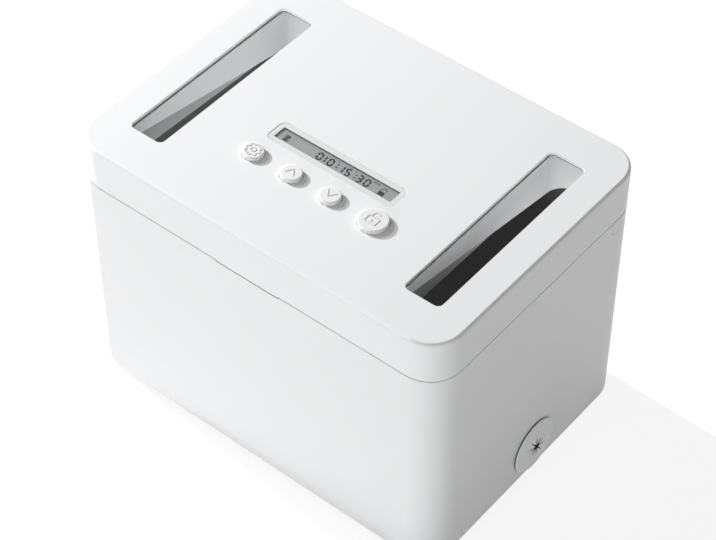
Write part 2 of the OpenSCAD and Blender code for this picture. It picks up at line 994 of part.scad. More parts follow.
// Hole for a screw, with a counterbore for its head, up through the liner
module screw_hole(at, z1) {
    post(at, liner_z - cut, liner_z + head_h, head_r + head_play);
    post(at, liner_z - cut, z1, screw_r + shank_play);
}

// The battery bay's block between two heights, grown sideways by extra
module bay_block(extra, z0, z1) {
    block([-bay[0]/2 - extra, bay_y - bay[1]/2 - extra, z0],
          [bay[0]/2 + extra, bay_y + bay[1]/2 + extra, z1]);
}

module liner_screws() {
    both_sides()
        for (at = liner_boss)
            screw_up(at, liner_z, liner_top + liner_screw_l);
}

// ---------------------------------------------------------------- display and board

module display_bezel() {
    low = roof_z - bezel_lip_t;
    color("#dfe3e0")
        translate([0, display_y, 0])
            difference() {
                union() {
                    slab(bezel_w, bezel_d, low, top_z - bezel_sink, bezel_r, top = bezel_edge);
                    translate([0, 0, low])
                        linear_extrude(bezel_lip_t)
                            rounded_rect(bezel_w + 2*bezel_lip, bezel_d + 2*bezel_lip, bezel_r);
                }
                translate([0, 0, low - cut])
                    linear_extrude(lid_top_t + bezel_lip_t + 2*cut)
                        rounded_rect(window_w, window_d, window_r);
                // recess that the display cell rises into from below
                block([-cell[0]/2 - cell_play, -cell[1]/2 - cell_play, low - cut],
                      [cell[0]/2 + cell_play, cell[1]/2 + cell_play, cell_top + cell_play/2]);
            }
}

module display_lens() {
    color([0.8, 0.86, 0.84, 0.4])
        translate([0, display_y, lens_z])
            linear_extrude(lens_t)
                rounded_rect(window_w, window_d, window_r);
}

module lcd_cell() {
    color("#98a39d")
        translate([0, display_y, 0])
            block([-cell[0]/2, -cell[1]/2, cell_top - cell[2]], [cell[0]/2, cell[1]/2, cell_top]);
}

module backlight() {
    color("#eef2ef")
        translate([0, display_y, backlight_z])
            linear_extrude(backlight_size[2])
                square([backlight_size[0], backlight_size[1]], center = true);
}

module lcd_holder() {
    inner = [cell[0] + 2*cell_play, cell[1] + 2*cell_play];
    color("#e8e8e6")
        translate([0, display_y, board_top]) {
            linear_extrude(holder_top - board_top)
                difference() {
                    square(inner + [2*holder_wall, 2*holder_wall], center = true);
                    square(inner, center = true);
                }
            // ribs that the backlight's ends lie on
            for (sx = [-1, 1])
                translate([sx*(inner[0] - holder_rib + cell_play)/2, 0, 0])
                    linear_extrude(backlight_z - board_top)
                        square([holder_rib + cell_play, inner[1] + 2*cell_play], center = true);
        }
}

module contact_strips() {
    color("#d98aa0")
        for (sy = [-1, 1])
            translate([0, display_y + sy*(cell[1] - strip[1])/2, board_top])
                linear_extrude(cell_top - cell[2] - board_top)
                    square(strip, center = true);
}

module circuit_board() {
    color("#1f6b46")
        difference() {
            block([-board_x, board_y[0], board_top - board_t], [board_x, board_y[1], board_top]);
            both_sides()
                for (at = board_screw_at)
                    post(at, board_top - board_t - cut, board_top + cut, screw_r + fit_play);
        }
}

module board_screws() {
    under = board_top - board_t;
    color("silver")
        both_sides()
            for (at = board_screw_at) {
                post(at, under - head_h, under, small_head_r);
                post(at, under, roof_z - board_screw_short, small_screw_r);
            }
}

module buzzer() {
    top = board_top - board_t;
    low = top - buzzer_size[1];
    color("#202124")
        difference() {
            post(buzzer_at, low, top, buzzer_size[0]);
            post(buzzer_at, low - cut, low + buzzer_hole[1], buzzer_hole[0]);
        }
}

// Push switch on the board, with a well that its plunger moves in
module push_switch(i) {
    at = [button_x[i], button_y];
    color("#2b2c2f")
        difference() {
            block([at[0] - switch_w/2, at[1] - switch_w/2, board_top],
                  [at[0] + switch_w/2, at[1] + switch_w/2, board_top + switch_h]);
            post(at, board_top + plunger_floor, board_top + switch_h + cut, plunger_r + fit_play);
        }
}

module plunger(i) {
    tip = board_top + switch_h + plunger_proud;
    color("#e0d9c8")
        post([button_x[i], button_y], tip - plunger_l, tip, plunger_r);
}

// Button cap: softly rounded top, a collar that holds it under the lid, and a stem
module button(i) {
    r = button_r(i);
    tip = board_top + switch_h + plunger_proud;
    collar_top = roof_z - collar_gap;
    top = top_z + button_h;
    color("#f4f4f4")
        translate([button_x[i], button_y, 0])
            rotate_extrude() {
                translate([0, tip])
                    square([stem_r, top - tip - button_round]);
                translate([0, collar_top - collar_t])
                    square([r + collar_extra, collar_t]);
                translate([0, collar_top - cut/2])
                    square([r, top - button_round - collar_top + cut/2]);
                translate([0, top - button_round - cut/2])
                    square([r - button_round, button_round + cut/2]);
                translate([r - button_round, top - button_round])
                    quarter(button_round);
            }
}

// ---------------------------------------------------------------- latch

// Straight-sided tooth: half is half its width at the pitch line, which lies at zero, and it
// stands add above that line and reaches ded below it
function tooth(half, add, ded) = [
    [-half - ded*tan(pressure_angle), -ded], [-half + add*tan(pressure_angle), add],
    [half - add*tan(pressure_angle), add], [half + ded*tan(pressure_angle), -ded]];

module latch_bolt() {
    color("#c9ccd0")
        along_x(-bolt_w/2, bolt_w/2)
            translate([bolt_tip, bolt_z])
                difference() {
                    polygon([
                        [0, bolt_edge], [bolt_edge, 0], [bolt_l, 0],
                        [bolt_l, bolt_t], [bolt_edge, bolt_t], [0, bolt_t - bolt_edge]]);
                    // gaps between the rack's teeth
                    for (i = rack_gaps)
                        translate([pinion_y - bolt_tip + i*rack_pitch, bolt_t - tooth_add])
                            mirror([0, 1])
                                polygon(tooth(rack_pitch/4 + rack_play, tooth_ded, tooth_add + cut/100));
                }
}

module pinion() {
    half = rack_pitch/4 - pinion_play;
    tip_r = pitch_r + tooth_add;
    root_r = pitch_r - tooth_ded;
    color("#f0ead8")
        translate([-pinion_w/2, pinion_y, pinion_z])
            rotate([90, 0, 90])
                linear_extrude(pinion_w)
                    difference() {
                        union() {
                            circle(root_r);
                            for (i = [0 : pinion_teeth - 1])
                                rotate(i*360/pinion_teeth - 90)
                                    polygon([
                                        [root_r - tooth_sink, -half - tooth_root], [pitch_r, -half],
                                        [tip_r, -half/2], [tip_r, half/2], [pitch_r, half],
                                        [root_r - tooth_sink, half + tooth_root]]);
                        }
                        circle(shaft_r);
                    }
}

module motor_shaft() {
    color("silver")
        rod(shaft_x, motor_x + shaft_in_motor, [pinion_y, pinion_z], shaft_r);
}

module gear_motor() {
    can_x = motor_x + gearbox_l;
    end_x = can_x + can_l;
    axis = [pinion_y, pinion_z];
    color("#b8babd")
        difference() {
            union() {
                block([motor_x, pinion_y - motor_w/2, pinion_z - motor_h/2],
                      [can_x, pinion_y + motor_w/2, pinion_z + motor_h/2]);
                intersection() {
                    rod(can_x, end_x, axis, motor_h/2);
                    block([can_x - cut, pinion_y - motor_w/2, pinion_z - motor_h],
                          [end_x + cut, pinion_y + motor_w/2, pinion_z + motor_h]);
                }
                rod(end_x, end_x + rear_bush[1], axis, rear_bush[0]);
            }
            rod(motor_x - cut, motor_x + bearing_depth, axis, shaft_r + pin_play);
        }
}

// Sheet strap over the gearbox, with a foot on each side of the cradle
module motor_strap() {
    outer = strap_y - strap_in;
    bed = liner_top + housing_t;
    color("silver")
        difference() {
            translate([0, pinion_y, 0])
                along_x(strap_x[0], strap_x[1])
                    difference() {
                        union() {
                            translate([-outer, bed])
                                square([2*outer, pinion_z + motor_h/2 + strap_t - bed]);
                            translate([-strap_y - strap_foot, bed])
                                square([2*(strap_y + strap_foot), strap_t]);
                        }
                        translate([-outer + strap_t, liner_top])
                            square([2*(outer - strap_t), pinion_z + motor_h/2 - liner_top]);
                    }
            for (at = strap_screw_at)
                post(at, bed - cut, bed + strap_t + cut, strap_screw_r + fit_play);
        }
}

module strap_screws() {
    head_z = liner_top + housing_t + strap_t;
    color("silver")
        for (at = strap_screw_at) {
            post(at, head_z, head_z + strap_head[1], strap_head[0]);
            post(at, liner_top + strap_bore, head_z, strap_screw_r);
        }
}

module latch_housing() {
    color("#d4d6d8")
        difference() {
            union() {
                block([housing_x[0], bolt_tip + bolt_front, liner_top],
                      [housing_x[1], bolt_tip + bolt_l + bolt_back, liner_top + housing_t]);
                bolt_guide();
                motor_cradle();
                for (at = housing_screw_at)
                    post(at, liner_top, liner_top + housing_post[1], housing_post[0]);
            }
            rod(shaft_x - cut, shaft_x + cheek_t + cut, [pinion_y, pinion_z], shaft_r + pin_play);
            for (at = housing_screw_at)
                post(at, liner_top - cut, liner_top + housing_bore, screw_r);
            for (at = strap_screw_at)
                post(at, liner_top + strap_bore, liner_top + housing_t + cut, strap_screw_r);
        }
}

// Channel that the bolt slides in, roofed over at its front, with the shaft's bearing beside it
module bolt_guide() {
    front = bolt_tip + bolt_front;
    back = bolt_tip + bolt_l + bolt_room;
    bed = bolt_z - bed_play;
    cheek = bolt_w/2 + cheek_play;
    outer = cheek + cheek_t;
    block([-outer, front, liner_top], [outer, back, bed]);
    both_sides()
        block([cheek, front, liner_top], [outer, back, bolt_z + bolt_t]);
    difference() {
        block([-outer, front, bed - cut], [outer, front + roof_l, bolt_z + bolt_t + cheek_play + roof_t]);
        block([-cheek, front - cut, bed], [cheek, front + roof_l + cut, bolt_z + bolt_t + cheek_play]);
    }
    block([-outer, pinion_y - bearing_r, bed], [-cheek, pinion_y + bearing_r, pinion_z + bearing_r]);
}

// Two walls beside the motor, and two ribs under its gearbox
module motor_cradle() {
    side = motor_w/2 + cradle_play;
    for (s = [-1, 1])
        translate([0, pinion_y + s*(side + cradle_t/2), 0])
            block([cradle_x[0], -cradle_t/2, liner_top], [cradle_x[1], cradle_t/2, pinion_z]);
    for (x = cradle_rib)
        block([motor_x + x, pinion_y - side - cut/10, liner_top],
              [motor_x + x + cradle_t, pinion_y + side + cut/10, pinion_z - motor_h/2]);
}

module housing_screws() {
    for (at = housing_screw_at)
        screw_up(at, liner_z, liner_top + housing_screw_l);
}

// ---------------------------------------------------------------- batteries

// One cell lying along X; row is -1, 0 or 1, and neighbours face opposite ways
module battery(row) {
    turn = row == 0 ? 180 : 0;
    color("#3b6ea8")
        translate([0, bay_y + row*cell_pitch, bay_axis_z])
            rotate([0, 90, turn])
                translate([0, 0, cell_shift - cell_l/2]) {
                    cylinder(h = cell_l - cell_nub, r = cell_d/2);
                    cylinder(h = cell_l, r = cell_cap_r);
                }
}

// Plate at each end of each cell, with a button for its cap or a cone of spring for its base
module battery_contacts() {
    color("silver")
        for (row = [-1 : 1], s = [-1, 1]) {
            cap = (row == 0 ? -1 : 1)*s > 0;
            reach = bay[0]/2 - cell_l/2 - (cap ? cell_shift : -cell_shift);
            translate([0, bay_y + row*cell_pitch, bay_axis_z])
                rotate([0, s*90, 0])
                    translate([0, 0, bay[0]/2 - contact_t]) {
                        linear_extrude(contact_t)
                            square(contact_w, center = true);
                        translate([0, 0, contact_t - reach])
                            cylinder(h = reach - contact_t/2, r1 = contact_nub_r,
                                     r2 = cap ? contact_nub_r : spring_r);
                    }
        }
}

module battery_door() {
    half = bay/2 + [bay_step - door_play, bay_step - door_play];
    color("#8b8f92")
        difference() {
            translate([0, bay_y, liner_z])
                linear_extrude(liner_t - door_sink)
                    rounded_rect(2*half[0], 2*half[1], door_r);
            // shallow grooves for the thumb
            for (i = [-2 : 2])
                translate([0, bay_y - half[1] + thumb_in + thumb_pitch*i, liner_z])
                    cube([thumb[0], thumb[1], 2*thumb[2]], center = true);
        }
}

// ---------------------------------------------------------------- the nodes

base_shell();
inner_tub();
mirror([1, 0, 0]) hinge_cap();  // hinge_cap_left
hinge_cap();  // hinge_cap_right
mirror([1, 0, 0]) hinge_pin();  // hinge_pin_left
hinge_pin();  // hinge_pin_right
hinge_cap_screws();
strike_plate();
strike_screws();
cable_grommet();
mirror([1, 0, 0]) mirror([0, 1, 0]) foot();  // foot_front_left
mirror([0, 1, 0]) foot();  // foot_front_right
mirror([1, 0, 0]) foot();  // foot_rear_left
foot();  // foot_rear_right
tub_screws();
lid_shell();
lid_liner();
mirror([1, 0, 0]) window_pane();  // window_pane_left
window_pane();  // window_pane_right
mirror([1, 0, 0]) window_frame();  // window_frame_left
window_frame();  // window_frame_right
frame_screws();
liner_screws();
display_bezel();
display_lens();
lcd_cell();
backlight();
lcd_holder();
contact_strips();
circuit_board();
board_screws();
buzzer();
push_switch(0);  // settings_switch
push_switch(1);  // up_switch
push_switch(2);  // down_switch
push_switch(3);  // lock_switch
button(0);  // settings_button
button(1);  // up_button
button(2);  // down_button
button(3);  // lock_button
plunger(0);  // settings_plunger
plunger(1);  // up_plunger
plunger(2);  // down_plunger
plunger(3);  // lock_plunger
latch_housing();
housing_screws();
gear_motor();
motor_shaft();
motor_strap();
strap_screws();
pinion();
latch_bolt();
battery(-1);  // battery_front
battery(0);  // battery_middle
battery(1);  // battery_rear
battery_contacts();
battery_door();
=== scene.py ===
"""Looks of the timed lock container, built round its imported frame."""
import math

import bmesh
import bpy
from mathutils import Matrix, Vector


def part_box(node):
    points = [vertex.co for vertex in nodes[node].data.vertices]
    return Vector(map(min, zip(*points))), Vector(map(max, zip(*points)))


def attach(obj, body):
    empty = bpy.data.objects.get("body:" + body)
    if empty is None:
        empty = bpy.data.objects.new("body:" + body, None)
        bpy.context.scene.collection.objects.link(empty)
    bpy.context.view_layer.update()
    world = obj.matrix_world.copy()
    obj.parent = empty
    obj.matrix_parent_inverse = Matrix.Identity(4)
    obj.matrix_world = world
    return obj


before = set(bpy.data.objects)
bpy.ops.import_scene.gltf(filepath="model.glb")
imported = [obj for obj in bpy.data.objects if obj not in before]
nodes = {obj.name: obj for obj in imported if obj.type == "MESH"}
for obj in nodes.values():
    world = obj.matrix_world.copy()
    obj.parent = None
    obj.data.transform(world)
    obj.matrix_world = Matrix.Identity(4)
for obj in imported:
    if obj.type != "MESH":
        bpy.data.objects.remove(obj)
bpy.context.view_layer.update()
MM = 0.001
scene = bpy.context.scene


# ---------------------------------------------------------------- materials

PLASTIC_IOR, SHEET_IOR = 1.46, 1.33
BRUSH_ALONG, BRUSH_DEPTH, BRUSH_GLOSS = 25, 0.00001, (-0.1, 0.12)


def material(name, color, rough=0.45, metal=0.0, coat=0.0):
    """A plain shader whose uniform values sit on its own sockets."""
    m = bpy.data.materials.new(name)
    m.use_nodes = True
    shader = m.node_tree.nodes["Principled BSDF"]
    shader.inputs["Base Color"].default_value = (*color, 1)
    shader.inputs["Roughness"].default_value = rough
    shader.inputs["Metallic"].default_value = metal
    shader.inputs["Coat Weight"].default_value = coat
    shader.inputs["IOR"].default_value = PLASTIC_IOR
    return m


def add(m, kind, **values):
    """A new node; each value goes to the input of that name, or else to the node's setting."""
    node = m.node_tree.nodes.new(kind)
    for key, value in values.items():
        if key in node.inputs:
            node.inputs[key].default_value = value
        else:
            setattr(node, key, value)
    return node


def link(m, a, out, b, into):
    """Join two nodes by their sockets' names."""
    m.node_tree.links.new(a.outputs[out], b.inputs[into])


def grained(m, grain_mm=0.35, depth_mm=0.01, shade=0.02, patch_mm=60, rough_by=0.06):
    """Fine moulded grain as bump, with slow drifts in shade and gloss."""
    shader = m.node_tree.nodes["Principled BSDF"]
    color = tuple(shader.inputs["Base Color"].default_value)
    rough = shader.inputs["Roughness"].default_value
    place = add(m, "ShaderNodeTexCoord")
    fine = add(m, "ShaderNodeTexNoise", Scale=1000 / grain_mm, Detail=2.0, Roughness=0.5)
    slow = add(m, "ShaderNodeTexNoise", Scale=1000 / patch_mm, Detail=3.0, Roughness=0.55)
    link(m, place, "Object", fine, "Vector")
    link(m, place, "Object", slow, "Vector")
    bump = add(m, "ShaderNodeBump", Strength=0.6, Distance=depth_mm * MM)
    link(m, fine, "Fac", bump, "Height")
    link(m, bump, "Normal", shader, "Normal")
    tint = add(m, "ShaderNodeMixRGB", blend_type="MIX")
    tint.inputs[1].default_value = tuple(c * (1 - shade) for c in color[:3]) + (1,)
    tint.inputs[2].default_value = tuple(min(1, c * (1 + shade)) for c in color[:3]) + (1,)
    link(m, slow, "Fac", tint, 0)
    link(m, tint, "Color", shader, "Base Color")
    gloss = add(m, "ShaderNodeMapRange")
    gloss.inputs["To Min"].default_value = max(0.02, rough - rough_by)
    gloss.inputs["To Max"].default_value = min(1, rough + rough_by)
    link(m, slow, "Fac", gloss, "Value")
    link(m, gloss, "Result", shader, "Roughness")
    return m


def brushed(m, along="X", fine_mm=0.12):
    """Fine lines along one axis, in bump and gloss."""
    shader = m.node_tree.nodes["Principled BSDF"]
    rough = shader.inputs["Roughness"].default_value
    place = add(m, "ShaderNodeTexCoord")
    stretch = add(m, "ShaderNodeMapping")
    scale = [1000 / fine_mm] * 3
    scale["XYZ".index(along)] = BRUSH_ALONG
    stretch.inputs["Scale"].default_value = scale
    lines = add(m, "ShaderNodeTexNoise", Scale=1.0, Detail=3.0)
    link(m, place, "Object", stretch, "Vector")
    link(m, stretch, "Vector", lines, "Vector")
    bump = add(m, "ShaderNodeBump", Strength=0.35, Distance=BRUSH_DEPTH)
    link(m, lines, "Fac", bump, "Height")
    link(m, bump, "Normal", shader, "Normal")
    gloss = add(m, "ShaderNodeMapRange")
    gloss.inputs["To Min"].default_value = rough + BRUSH_GLOSS[0]
    gloss.inputs["To Max"].default_value = rough + BRUSH_GLOSS[1]
    link(m, lines, "Fac", gloss, "Value")
    link(m, gloss, "Result", shader, "Roughness")
    return m


def dress(mat, *names):
    """Give CAD nodes their material."""
    for name in names:
        mesh = nodes[name].data
        mesh.materials.clear()
        mesh.materials.append(mat)


shell_white = grained(material("shell_white", (0.845, 0.85, 0.858), 0.42), 0.4, 0.006, 0.006)
lid_white = grained(material("lid_white", (0.86, 0.866, 0.874), 0.42), 0.4, 0.006, 0.006)
trim_white = grained(material("trim_white", (0.86, 0.865, 0.87), 0.5), 0.5, 0.006, 0.01)
button_white = grained(material("button_white", (0.86, 0.862, 0.866), 0.34), 0.5, 0.004, 0.006)
bezel_grey = grained(material("bezel_grey", (0.765, 0.772, 0.772), 0.4), 0.5, 0.004, 0.01)
liner_grey = grained(material("liner_grey", (0.37, 0.375, 0.38), 0.5), 0.5, 0.01, 0.04)
tub_black = grained(material("tub_black", (0.042, 0.043, 0.045), 0.5), 0.6, 0.02, 0.1)
port_rubber = grained(material("port_rubber", (0.93, 0.935, 0.945), 0.5), 0.3, 0.006, 0.015)
foot_rubber = grained(material("foot_rubber", (0.025, 0.025, 0.027), 0.8), 0.3, 0.03, 0.1)
black_plastic = grained(material("black_plastic", (0.025, 0.026, 0.03), 0.4), 0.3, 0.01, 0.1)
ivory = grained(material("ivory_plastic", (0.75, 0.70, 0.58), 0.45), 0.4, 0.01, 0.03)
gear_nylon = grained(material("gear_nylon", (0.82, 0.79, 0.70), 0.4), 0.4, 0.006, 0.03)
strip_pink = grained(material("strip_pink", (0.68, 0.36, 0.44), 0.7), 0.2, 0.02, 0.15, 4)
board_green = grained(material("board_green", (0.022, 0.15, 0.075), 0.3, coat=0.3), 1.5, 0.01, 0.15, 8)
battery_film = grained(material("battery_film", (0.07, 0.17, 0.36), 0.25, coat=0.5), 0.5, 0.004, 0.05)
milky = grained(material("light_guide", (0.82, 0.87, 0.85), 0.25), 0.6, 0.004, 0.02)
steel = brushed(material("steel", (0.56, 0.57, 0.59), 0.32, metal=1.0))
zinc = brushed(material("zinc_screw", (0.62, 0.62, 0.63), 0.3, metal=1.0), "Z")
motor_can = brushed(material("motor_can", (0.5, 0.5, 0.52), 0.34, metal=1.0), "Y")
nickel = grained(material("nickel", (0.66, 0.65, 0.63), 0.2, metal=1.0), 0.5, 0.004, 0.03)


def clear_sheet(name, tint, rough):
    """Clear plastic that light and shadow rays pass: a thin gloss over plain see-through.

    The gloss is on the outer side of each face only, so that no ray is caught inside the sheet.
    """
    m = bpy.data.materials.new(name)
    m.use_nodes = True
    m.node_tree.nodes.clear()
    out = add(m, "ShaderNodeOutputMaterial")
    through = add(m, "ShaderNodeBsdfTransparent", Color=(*tint, 1))
    gloss = add(m, "ShaderNodeBsdfGlossy", Roughness=rough)
    rim = add(m, "ShaderNodeFresnel", IOR=SHEET_IOR)
    side = add(m, "ShaderNodeNewGeometry")
    outer = add(m, "ShaderNodeMath", operation="SUBTRACT")
    outer.inputs[0].default_value = 1
    share = add(m, "ShaderNodeMath", operation="MULTIPLY")
    place = add(m, "ShaderNodeTexCoord")
    slow = add(m, "ShaderNodeTexNoise", Scale=18.0, Detail=2.0)
    bump = add(m, "ShaderNodeBump", Strength=0.15, Distance=0.0002)
    mix = add(m, "ShaderNodeMixShader")
    link(m, place, "Object", slow, "Vector")
    link(m, slow, "Fac", bump, "Height")
    link(m, bump, "Normal", gloss, "Normal")
    link(m, side, "Backfacing", outer, 1)
    link(m, rim, "Fac", share, 0)
    link(m, outer, "Value", share, 1)
    link(m, share, "Value", mix, 0)
    link(m, through, "BSDF", mix, 1)
    link(m, gloss, "BSDF", mix, 2)
    link(m, mix, "Shader", out, "Surface")
    return m


pane_clear = clear_sheet("pane_clear", (0.955, 0.955, 0.955), 0.05)
lens_clear = clear_sheet("lens_clear", (0.97, 0.975, 0.975), 0.08)

lcd_glass = grained(material("lcd_glass", (0.36, 0.375, 0.375), 0.3), 0.5, 0.001, 0.02, 20)
ink = grained(material("lcd_ink", (0.012, 0.013, 0.014), 0.45), 0.4, 0.001, 0.1)
faint_ink = grained(material("lcd_faint_ink", (0.08, 0.085, 0.085), 0.45), 0.4, 0.001, 0.05)
# the marks' grey is painted shade for the shadow side of their emboss; the raised lines cast real shadows
# too
mark_shade_grey = grained(material("button_mark", (0.66, 0.665, 0.67), 0.5), 0.4, 0.002, 0.03)


def tinted_where(m, color, *conditions):
    """A second colour wherever all the conditions hold; each gives 1 inside its region."""
    shader = m.node_tree.nodes["Principled BSDF"]
    base = shader.inputs["Base Color"].links[0].from_socket
    region = conditions[0]
    for other in conditions[1:]:
        both = add(m, "ShaderNodeMath", operation="MULTIPLY")
        m.node_tree.links.new(region, both.inputs[0])
        m.node_tree.links.new(other, both.inputs[1])
        region = both.outputs[0]
    mix = add(m, "ShaderNodeMixRGB", blend_type="MIX")
    m.node_tree.links.new(region, mix.inputs[0])
    m.node_tree.links.new(base, mix.inputs[1])
    mix.inputs[2].default_value = (*color, 1)
    m.node_tree.links.new(mix.outputs["Color"], shader.inputs["Base Color"])


def nearer_than(m, centre, reach, flatten=(1, 1, 1)):
    """1 where the flattened distance from a centre is below a reach, both in millimetres."""
    place = add(m, "ShaderNodeTexCoord")
    shift = add(m, "ShaderNodeMapping", vector_type="TEXTURE")
    shift.inputs["Location"].default_value = [c * MM for c in centre]
    squeeze = add(m, "ShaderNodeVectorMath", operation="MULTIPLY")
    squeeze.inputs[1].default_value = flatten
    length = add(m, "ShaderNodeVectorMath", operation="LENGTH")
    below = add(m, "ShaderNodeMath", operation="LESS_THAN")
    below.inputs[1].default_value = reach * MM
    link(m, place, "Object", shift, "Vector")
    link(m, shift, "Vector", squeeze, 0)
    link(m, squeeze, "Vector", length, 0)
    link(m, length, "Value", below, 0)
    return below.outputs[0]


def beyond(m, axis, limit, above=True):
    """1 where a coordinate is above (or below) a limit in millimetres."""
    place = add(m, "ShaderNodeTexCoord")
    parts = add(m, "ShaderNodeSeparateXYZ")
    test = add(m, "ShaderNodeMath", operation="GREATER_THAN" if above else "LESS_THAN")
    test.inputs[1].default_value = limit * MM
    link(m, place, "Object", parts, "Vector")
    link(m, parts, axis, test, 0)
    return test.outputs[0]


def star(m, y, z, rays, reach, width):
    """1 on rays about an X axis, each narrowing from its width at the middle to a point."""
    place = add(m, "ShaderNodeTexCoord")
    parts = add(m, "ShaderNodeSeparateXYZ")
    link(m, place, "Object", parts, "Vector")
    across = add(m, "ShaderNodeMath", operation="SUBTRACT")
    across.inputs[1].default_value = y * MM
    link(m, parts, "Y", across, 0)
    upward = add(m, "ShaderNodeMath", operation="SUBTRACT")
    upward.inputs[1].default_value = z * MM
    link(m, parts, "Z", upward, 0)
    angle = add(m, "ShaderNodeMath", operation="ARCTAN2")
    link(m, across, "Value", angle, 0)
    link(m, upward, "Value", angle, 1)
    fold = add(m, "ShaderNodeMath", operation="PINGPONG")
    fold.inputs[1].default_value = math.pi / rays
    link(m, angle, "Value", fold, 0)
    flat = add(m, "ShaderNodeCombineXYZ")
    link(m, across, "Value", flat, "X")
    link(m, upward, "Value", flat, "Y")
    radius = add(m, "ShaderNodeVectorMath", operation="LENGTH")
    link(m, flat, "Vector", radius, 0)
    aside = add(m, "ShaderNodeMath", operation="MULTIPLY")
    link(m, fold, "Value", aside, 0)
    link(m, radius, "Value", aside, 1)
    room = add(m, "ShaderNodeMapRange")
    room.inputs["From Max"].default_value = reach * MM
    room.inputs["To Min"].default_value = width / 2 * MM
    room.inputs["To Max"].default_value = 0
    link(m, radius, "Value", room, "Value")
    inside = add(m, "ShaderNodeMath", operation="LESS_THAN")
    link(m, aside, "Value", inside, 0)
    link(m, room, "Result", inside, 1)
    return inside.outputs[0]


# the port's slits are painted dark as painted shade, wider and longer than they are so that they
# show; the fine gap under its flange is painted dark as well, as painted shade
port_low, port_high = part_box("cable_grommet")
port_y, port_z = (port_low.y + port_high.y) / 2 / MM, (port_low.z + port_high.z) / 2 / MM
SLITS, SLIT_REACH, SLIT_W, FLANGE, GAP_SHADE = 10, 8.2, 1.3, 2.3, 0.75
shell_side = port_high.x / MM - FLANGE
tinted_where(port_rubber, (0.012, 0.012, 0.013),
             star(port_rubber, port_y, port_z, SLITS, SLIT_REACH, SLIT_W))
# painted shade: the band low on the flange, down to the wall, is painted dark
tinted_where(port_rubber, (0.07, 0.07, 0.075), beyond(port_rubber, "X", shell_side + GAP_SHADE, above=False))

# a dark line of painted shade runs round each window, where the pane lies under the lid's edge
pane_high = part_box("window_pane_right")[1]
SHADE_LINE = 0.45
tinted_where(lid_white, (0.13, 0.13, 0.135),
             beyond(lid_white, "Z", pane_high.z / MM + SHADE_LINE, above=False),
             beyond(lid_white, "Z", pane_high.z / MM - SHADE_LINE),
             nearer_than(lid_white, (0, 0, 0), pane_high.x / MM, (1, 0, 0)),
             nearer_than(lid_white, (0, 0, 0), pane_high.y / MM, (0, 1, 0)))

# the bezel's inner walls are painted dark down to the display, as painted shade in the recess
lens_low, lens_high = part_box("display_lens")
lens_y = (lens_low.y + lens_high.y) / 2 / MM
lens_half_x, lens_half_y = lens_high.x / MM, (lens_high.y - lens_low.y) / 2 / MM
LENS_PLAY = 0.02
tinted_where(bezel_grey, (0.22, 0.225, 0.225),
             nearer_than(bezel_grey, (0, lens_y, 0), lens_half_x + LENS_PLAY, (1, 0, 0)),
             nearer_than(bezel_grey, (0, lens_y, 0), lens_half_y + LENS_PLAY, (0, 1, 0)))

dress(shell_white, "base_shell", "hinge_cap_left", "hinge_cap_right")
dress(lid_white, "lid_shell")
dress(trim_white, "window_frame_left", "window_frame_right", "lcd_holder", "latch_housing")
dress(button_white, "settings_button", "up_button", "down_button", "lock_button")
dress(bezel_grey, "display_bezel")
dress(liner_grey, "lid_liner", "battery_door")
dress(tub_black, "inner_tub")
dress(port_rubber, "cable_grommet")
dress(foot_rubber, "foot_front_left", "foot_front_right", "foot_rear_left", "foot_rear_right")
dress(black_plastic, "buzzer", "settings_switch", "up_switch", "down_switch", "lock_switch")
dress(ivory, "settings_plunger", "up_plunger", "down_plunger", "lock_plunger")
dress(gear_nylon, "pinion")
dress(strip_pink, "contact_strips")
dress(board_green, "circuit_board")
dress(battery_film, "battery_front", "battery_middle", "battery_rear")
dress(milky, "backlight")
dress(steel, "hinge_pin_left", "hinge_pin_right", "strike_plate", "motor_shaft", "motor_strap",
      "latch_bolt")
dress(zinc, "hinge_cap_screws", "strike_screws", "tub_screws", "frame_screws", "liner_screws",
      "board_screws", "housing_screws", "strap_screws")
dress(motor_can, "gear_motor")
dress(nickel, "battery_contacts")
dress(pane_clear, "window_pane_left", "window_pane_right")
dress(lens_clear, "display_lens")
dress(lcd_glass, "lcd_cell")
for name in ("window_pane_left", "window_pane_right", "display_lens", "display_bezel"):
    nodes[name].visible_shadow = False


# ---------------------------------------------------------------- new pieces

def piece(name, bm, mat, body):
    """A finished new piece, which rides on a body of the frame."""
    bmesh.ops.recalc_face_normals(bm, faces=bm.faces)
    mesh = bpy.data.meshes.new(name)
    bm.to_mesh(mesh)
    bm.free()
    obj = bpy.data.objects.new(name, mesh)
    scene.collection.objects.link(obj)
    mesh.materials.append(mat)
    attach(obj, body)


def plate(bm, outline, z, thick):
    """A flat shape between z and z + thick; its outline is a list of (x, y) in millimetres."""
    verts = [bm.verts.new((x * MM, y * MM, z * MM)) for x, y in outline]
    face = bm.faces.new(verts)
    rise = bmesh.ops.extrude_face_region(bm, geom=[face])
    up = [v for v in rise["geom"] if isinstance(v, bmesh.types.BMVert)]
    bmesh.ops.translate(bm, verts=up, vec=(0, 0, thick * MM))


def bar(bm, a, b, width, z, thick):
    """A straight stroke from a to b."""
    a, b = Vector(a), Vector(b)
    side = (b - a).normalized()
    side = Vector((-side.y, side.x)) * width / 2
    plate(bm, [a + side, a - side, b - side, b + side], z, thick)


# the display's glyphs lie on the cell's top: their thickness in millimetres, and their lean
LCD_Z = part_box("lcd_cell")[1].z / MM
INK, SLANT = 0.06, -0.09


def lean(x, y, at):
    """Point of a glyph, leaning by the display's slant."""
    return at[0] + x + SLANT * y, at[1] + y


SEGMENTS = {"0": "abcdef", "1": "bc", "3": "abgcd", "5": "afgcd"}
DIGIT_W, DIGIT_H, STROKE, TRIM = 2.3, 4.3, 0.95, 0.08


